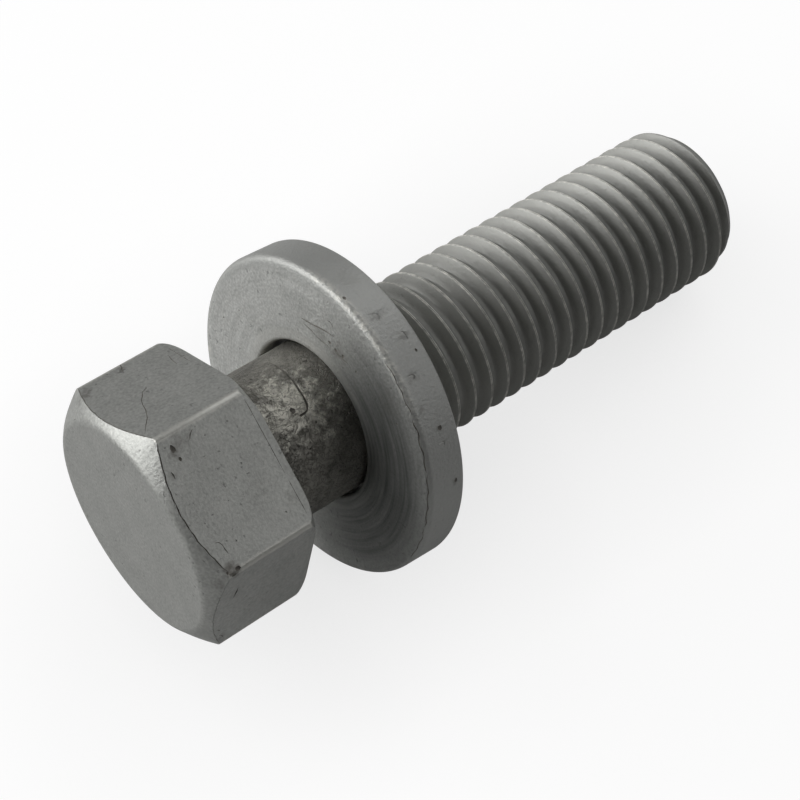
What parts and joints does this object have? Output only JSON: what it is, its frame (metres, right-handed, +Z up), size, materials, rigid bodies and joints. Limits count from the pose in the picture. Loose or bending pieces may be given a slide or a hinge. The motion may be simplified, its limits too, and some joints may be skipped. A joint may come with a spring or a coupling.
{
  "type": "hex bolt with captive washer",
  "caption": "Hex-head bolt with a thick flat washer held captive on its reduced shank by the rolled thread.",
  "frame": {"origin": "middle of the bolt's footprint, on the surface that it lies on", "axes": "+X along the bolt from head to tip, seen from above, +Z up; the bolt's axis dips 10.3 degrees below +X, because it rests on the washer's rim and the end of its thread"},
  "size_m": [0.0432, 0.0196, 0.0199],
  "materials": {
    "bolt_steel": "dull grey coated steel with a mottled, slightly rough surface, worn bright along the edges and thread crests",
    "washer_steel": "dull grey coated steel, smoother than the shank, with fine scratches and bright rolled edges"
  },
  "bodies": {
    "bolt": {"bolt": "bolt_steel"},
    "washer": {"washer": "washer_steel"}
  },
  "joints": [
    {"name": "washer_slide", "type": "slide", "parent": "bolt", "child": "washer", "axis": [0.9839, 0, -0.1789], "range_m": [-0.0042, 0]}
  ]
}
